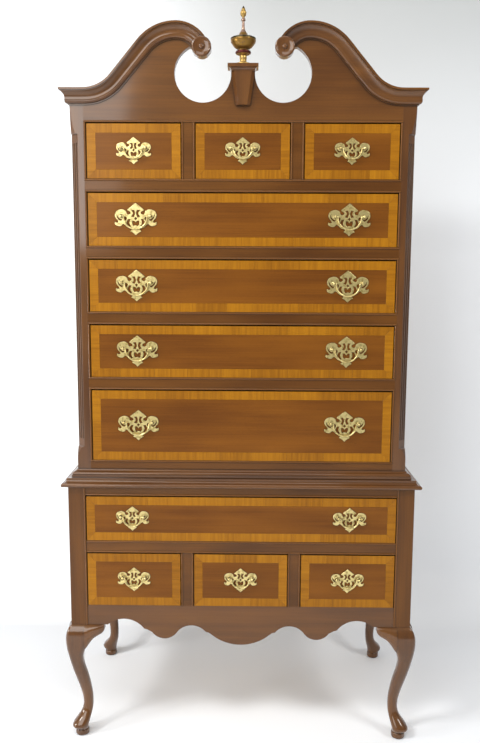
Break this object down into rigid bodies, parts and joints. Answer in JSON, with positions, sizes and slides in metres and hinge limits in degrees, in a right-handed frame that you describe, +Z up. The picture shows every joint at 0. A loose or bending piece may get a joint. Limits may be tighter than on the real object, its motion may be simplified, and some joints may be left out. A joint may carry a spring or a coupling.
{
  "type": "highboy chest of drawers",
  "caption": "Tall chest of drawers on a base with cabriole legs, with a broken-scroll pediment, urn finial, canted fluted corners and swinging bail pulls.",
  "frame": {"origin": "on the floor, under the middle of the whole piece", "axes": "+Z up, +X to the right of a person who faces the drawers, drawers open towards -Y"},
  "size_m": [0.998, 0.5428, 2.028],
  "materials": {
    "case_mahogany": "dark red-brown mahogany, satin lacquer",
    "drawer_mahogany": "red-brown mahogany with satinwood crossbanding, satin lacquer",
    "inside_wood": "plain unvarnished secondary wood",
    "gilt_wood": "gilded turned wood",
    "polished_brass": "polished and lacquered"
  },
  "bodies": {
    "case": {"leg_front_left": "case_mahogany", "leg_front_right": "case_mahogany", "leg_rear_left": "case_mahogany", "leg_rear_right": "case_mahogany", "knee_blocks": "case_mahogany", "base_posts": "case_mahogany", "base_sides": "case_mahogany", "base_front_frame": "case_mahogany", "base_apron": "case_mahogany", "waist_moulding": "case_mahogany", "chest_foot_moulding": "case_mahogany", "chest_sides": "case_mahogany", "fluted_corners": "case_mahogany", "chest_front_frame": "case_mahogany", "chest_boards": "inside_wood", "drawer_runners": "inside_wood", "back_boards": "inside_wood", "tympanum": "case_mahogany", "cornice": "case_mahogany", "rosettes": "case_mahogany", "plinth": "case_mahogany", "finial": "gilt_wood"},
    "drawer_base_small_left": {"drawer_base_small_left": "drawer_mahogany", "plates_base_small_left": "polished_brass"},
    "bail_base_small_left": {"bail_base_small_left": "polished_brass"},
    "drawer_base_small_middle": {"drawer_base_small_middle": "drawer_mahogany", "plates_base_small_middle": "polished_brass"},
    "bail_base_small_middle": {"bail_base_small_middle": "polished_brass"},
    "drawer_base_small_right": {"drawer_base_small_right": "drawer_mahogany", "plates_base_small_right": "polished_brass"},
    "bail_base_small_right": {"bail_base_small_right": "polished_brass"},
    "drawer_base_long": {"drawer_base_long": "drawer_mahogany", "plates_base_long": "polished_brass"},
    "bail_base_long_left": {"bail_base_long_left": "polished_brass"},
    "bail_base_long_right": {"bail_base_long_right": "polished_brass"},
    "drawer_chest_first": {"drawer_chest_first": "drawer_mahogany", "plates_chest_first": "polished_brass"},
    "bail_chest_first_left": {"bail_chest_first_left": "polished_brass"},
    "bail_chest_first_right": {"bail_chest_first_right": "polished_brass"},
    "drawer_chest_second": {"drawer_chest_second": "drawer_mahogany", "plates_chest_second": "polished_brass"},
    "bail_chest_second_left": {"bail_chest_second_left": "polished_brass"},
    "bail_chest_second_right": {"bail_chest_second_right": "polished_brass"},
    "drawer_chest_third": {"drawer_chest_third": "drawer_mahogany", "plates_chest_third": "polished_brass"},
    "bail_chest_third_left": {"bail_chest_third_left": "polished_brass"},
    "bail_chest_third_right": {"bail_chest_third_right": "polished_brass"},
    "drawer_chest_fourth": {"drawer_chest_fourth": "drawer_mahogany", "plates_chest_fourth": "polished_brass"},
    "bail_chest_fourth_left": {"bail_chest_fourth_left": "polished_brass"},
    "bail_chest_fourth_right": {"bail_chest_fourth_right": "polished_brass"},
    "drawer_chest_small_left": {"drawer_chest_small_left": "drawer_mahogany", "plates_chest_small_left": "polished_brass"},
    "bail_chest_small_left": {"bail_chest_small_left": "polished_brass"},
    "drawer_chest_small_middle": {"drawer_chest_small_middle": "drawer_mahogany", "plates_chest_small_middle": "polished_brass"},
    "bail_chest_small_middle": {"bail_chest_small_middle": "polished_brass"},
    "drawer_chest_small_right": {"drawer_chest_small_right": "drawer_mahogany", "plates_chest_small_right": "polished_brass"},
    "bail_chest_small_right": {"bail_chest_small_right": "polished_brass"}
  },
  "joints": [
    {"name": "slide_base_small_left", "type": "slide", "parent": "case", "child": "drawer_base_small_left", "axis": [0, -1, 0], "range_m": [0, 0.38]},
    {"name": "swing_base_small_left", "type": "hinge", "parent": "drawer_base_small_left", "child": "bail_base_small_left", "pos_m": [-0.30133, -0.266, 0.48907], "axis": [-1, 0, 0], "range_deg": [0, 170]},
    {"name": "slide_base_small_middle", "type": "slide", "parent": "case", "child": "drawer_base_small_middle", "axis": [0, -1, 0], "range_m": [0, 0.38]},
    {"name": "swing_base_small_middle", "type": "hinge", "parent": "drawer_base_small_middle", "child": "bail_base_small_middle", "pos_m": [0, -0.266, 0.48907], "axis": [-1, 0, 0], "range_deg": [0, 170]},
    {"name": "slide_base_small_right", "type": "slide", "parent": "case", "child": "drawer_base_small_right", "axis": [0, -1, 0], "range_m": [0, 0.38]},
    {"name": "swing_base_small_right", "type": "hinge", "parent": "drawer_base_small_right", "child": "bail_base_small_right", "pos_m": [0.30133, -0.266, 0.48907], "axis": [-1, 0, 0], "range_deg": [0, 170]},
    {"name": "slide_base_long", "type": "slide", "parent": "case", "child": "drawer_base_long", "axis": [0, -1, 0], "range_m": [0, 0.38]},
    {"name": "swing_base_long_left", "type": "hinge", "parent": "drawer_base_long", "child": "bail_base_long_left", "pos_m": [-0.3035, -0.266, 0.66732], "axis": [-1, 0, 0], "range_deg": [0, 170]},
    {"name": "swing_base_long_right", "type": "hinge", "parent": "drawer_base_long", "child": "bail_base_long_right", "pos_m": [0.3035, -0.266, 0.66732], "axis": [-1, 0, 0], "range_deg": [0, 170]},
    {"name": "slide_chest_first", "type": "slide", "parent": "case", "child": "drawer_chest_first", "axis": [0, -1, 0], "range_m": [0, 0.365]},
    {"name": "swing_chest_first_left", "type": "hinge", "parent": "drawer_chest_first", "child": "bail_chest_first_left", "pos_m": [-0.286, -0.246, 0.931], "axis": [-1, 0, 0], "range_deg": [0, 170]},
    {"name": "swing_chest_first_right", "type": "hinge", "parent": "drawer_chest_first", "child": "bail_chest_first_right", "pos_m": [0.286, -0.246, 0.931], "axis": [-1, 0, 0], "range_deg": [0, 170]},
    {"name": "slide_chest_second", "type": "slide", "parent": "case", "child": "drawer_chest_second", "axis": [0, -1, 0], "range_m": [0, 0.365]},
    {"name": "swing_chest_second_left", "type": "hinge", "parent": "drawer_chest_second", "child": "bail_chest_second_left", "pos_m": [-0.286, -0.246, 1.13825], "axis": [-1, 0, 0], "range_deg": [0, 170]},
    {"name": "swing_chest_second_right", "type": "hinge", "parent": "drawer_chest_second", "child": "bail_chest_second_right", "pos_m": [0.286, -0.246, 1.13825], "axis": [-1, 0, 0], "range_deg": [0, 170]},
    {"name": "slide_chest_third", "type": "slide", "parent": "case", "child": "drawer_chest_third", "axis": [0, -1, 0], "range_m": [0, 0.365]},
    {"name": "swing_chest_third_left", "type": "hinge", "parent": "drawer_chest_third", "child": "bail_chest_third_left", "pos_m": [-0.286, -0.246, 1.31675], "axis": [-1, 0, 0], "range_deg": [0, 170]},
    {"name": "swing_chest_third_right", "type": "hinge", "parent": "drawer_chest_third", "child": "bail_chest_third_right", "pos_m": [0.286, -0.246, 1.31675], "axis": [-1, 0, 0], "range_deg": [0, 170]},
    {"name": "slide_chest_fourth", "type": "slide", "parent": "case", "child": "drawer_chest_fourth", "axis": [0, -1, 0], "range_m": [0, 0.365]},
    {"name": "swing_chest_fourth_left", "type": "hinge", "parent": "drawer_chest_fourth", "child": "bail_chest_fourth_left", "pos_m": [-0.286, -0.246, 1.49375], "axis": [-1, 0, 0], "range_deg": [0, 170]},
    {"name": "swing_chest_fourth_right", "type": "hinge", "parent": "drawer_chest_fourth", "child": "bail_chest_fourth_right", "pos_m": [0.286, -0.246, 1.49375], "axis": [-1, 0, 0], "range_deg": [0, 170]},
    {"name": "slide_chest_small_left", "type": "slide", "parent": "case", "child": "drawer_chest_small_left", "axis": [0, -1, 0], "range_m": [0, 0.365]},
    {"name": "swing_chest_small_left", "type": "hinge", "parent": "drawer_chest_small_left", "child": "bail_chest_small_left", "pos_m": [-0.28933, -0.246, 1.67082], "axis": [-1, 0, 0], "range_deg": [0, 170]},
    {"name": "slide_chest_small_middle", "type": "slide", "parent": "case", "child": "drawer_chest_small_middle", "axis": [0, -1, 0], "range_m": [0, 0.365]},
    {"name": "swing_chest_small_middle", "type": "hinge", "parent": "drawer_chest_small_middle", "child": "bail_chest_small_middle", "pos_m": [0, -0.246, 1.67082], "axis": [-1, 0, 0], "range_deg": [0, 170]},
    {"name": "slide_chest_small_right", "type": "slide", "parent": "case", "child": "drawer_chest_small_right", "axis": [0, -1, 0], "range_m": [0, 0.365]},
    {"name": "swing_chest_small_right", "type": "hinge", "parent": "drawer_chest_small_right", "child": "bail_chest_small_right", "pos_m": [0.28933, -0.246, 1.67082], "axis": [-1, 0, 0], "range_deg": [0, 170]}
  ]
}
